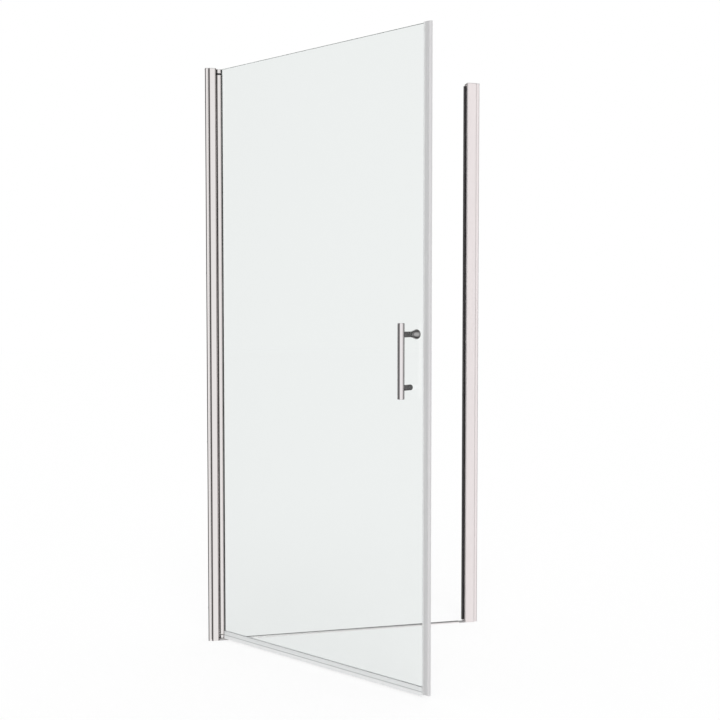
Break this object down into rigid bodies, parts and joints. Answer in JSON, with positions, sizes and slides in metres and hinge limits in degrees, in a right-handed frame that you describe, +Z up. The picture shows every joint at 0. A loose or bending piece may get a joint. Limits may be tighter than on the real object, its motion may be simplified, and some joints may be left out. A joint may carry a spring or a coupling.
{
  "type": "pivot shower door",
  "caption": "Pivot shower door: a clear glass panel on a round full-height pivot column between two wall channels and jambs, with magnetic edge seal, drip seal, low threshold and pull handle.",
  "frame": {"origin": "foot of the pivot side's wall face, halfway through the depth of the jamb, on the tray", "axes": "+X from the pivot side's wall to the latch side's wall, +Y into the shower, +Z up; the door is stored open 51.5 degrees towards -Y, as in the picture"},
  "size_m": [0.914, 0.6608, 1.829],
  "materials": {
    "polished_aluminium": "bright polished and anodised extrusion",
    "moulded_caps": "silver moulded plastic, smooth",
    "cast_blocks": "plated zinc casting",
    "stainless_steel": "turned stainless steel",
    "black_nylon": "moulded black nylon",
    "natural_nylon": "moulded natural nylon",
    "dark_strip": "extruded dark grey soft PVC",
    "magnet": "bonded ferrite magnet strip",
    "glazing_rubber": "soft glazing strip",
    "toughened_glass": "clear toughened float glass with ground edges",
    "clear_seal": "extruded translucent PVC",
    "chrome_handle": "polished chrome plate"
  },
  "bodies": {
    "frame": {"hinge_wall_channel": "polished_aluminium", "strike_wall_channel": "polished_aluminium", "hinge_jamb": "polished_aluminium", "strike_jamb": "polished_aluminium", "hinge_lock_screws": "stainless_steel", "strike_lock_screws": "stainless_steel", "hinge_top_cap": "moulded_caps", "strike_top_cap": "moulded_caps", "top_pivot_block": "cast_blocks", "bottom_pivot_block": "cast_blocks", "pivot_pins": "stainless_steel", "thrust_washer": "stainless_steel", "pivot_block_screws": "stainless_steel", "magnet_strip": "dark_strip", "strip_magnet": "magnet", "threshold_bar": "polished_aluminium", "threshold_hinge_end": "moulded_caps", "threshold_strike_end": "moulded_caps"},
    "door": {"pivot_column": "polished_aluminium", "top_bush": "black_nylon", "bottom_bush": "natural_nylon", "outer_glazing_strip": "glazing_rubber", "inner_glazing_strip": "glazing_rubber", "glass_pane": "toughened_glass", "edge_seal": "clear_seal", "edge_magnet": "magnet", "bottom_seal": "clear_seal", "handle_bar": "chrome_handle", "handle_end_caps": "chrome_handle", "handle_upper_post": "chrome_handle", "handle_lower_post": "chrome_handle", "handle_knob": "chrome_handle", "handle_rear_cap": "chrome_handle", "handle_studs": "stainless_steel", "handle_outer_washers": "clear_seal", "handle_glass_bushes": "clear_seal"}
  },
  "joints": [
    {"name": "door_pivot", "type": "hinge", "parent": "frame", "child": "door", "pos_m": [0.0447, 0, 0], "axis": [0, 0, -1], "range_deg": [-51.5, 48.5]}
  ]
}
